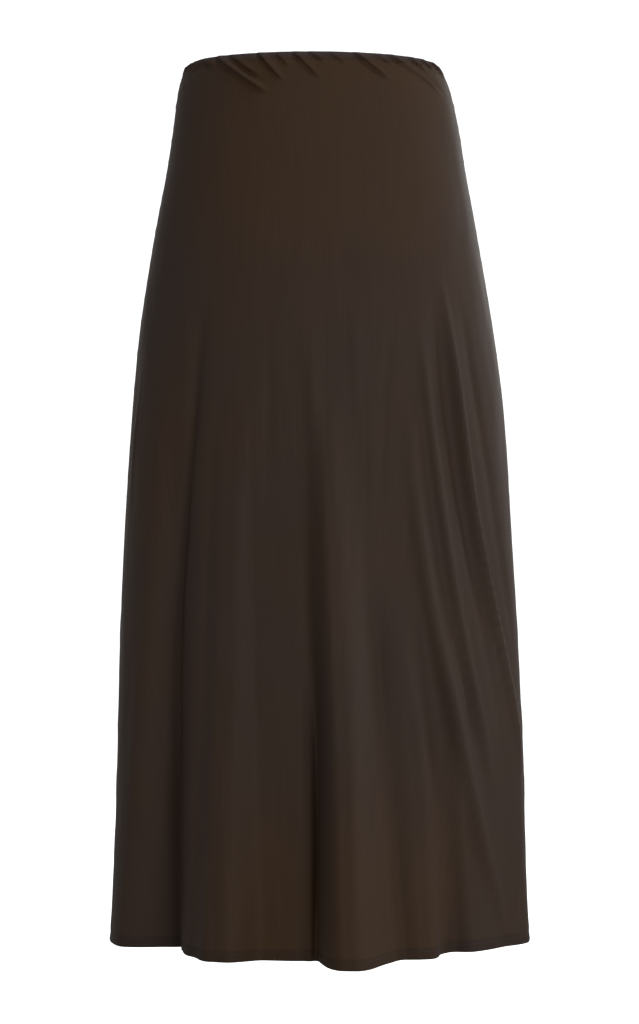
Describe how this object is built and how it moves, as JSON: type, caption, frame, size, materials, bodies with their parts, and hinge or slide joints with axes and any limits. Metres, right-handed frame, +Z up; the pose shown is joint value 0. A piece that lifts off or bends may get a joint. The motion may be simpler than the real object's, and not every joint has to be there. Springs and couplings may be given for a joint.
{
  "type": "midi skirt",
  "caption": "Flared midi skirt in thin jersey, hollow as worn, with an elastic casing at the waist, soft falling folds and a turned-up hem.",
  "frame": {"origin": "centre of the waist at half the height of the elastic casing, where the wearer's body holds the skirt", "axes": "+Z up, the front faces -Y, +X is on the right of someone who looks at the front"},
  "size_m": [0.4116, 0.3791, 0.8564],
  "materials": {
    "jersey": "matte knit with a faint sheen",
    "casing": "matte gathered knit over elastic"
  },
  "bodies": {
    "root": {"front_panel": "jersey", "back_panel": "jersey", "waist_casing_front": "casing", "waist_casing_back": "casing", "hem_turn_up_front": "jersey", "hem_turn_up_back": "jersey"}
  },
  "joints": []
}
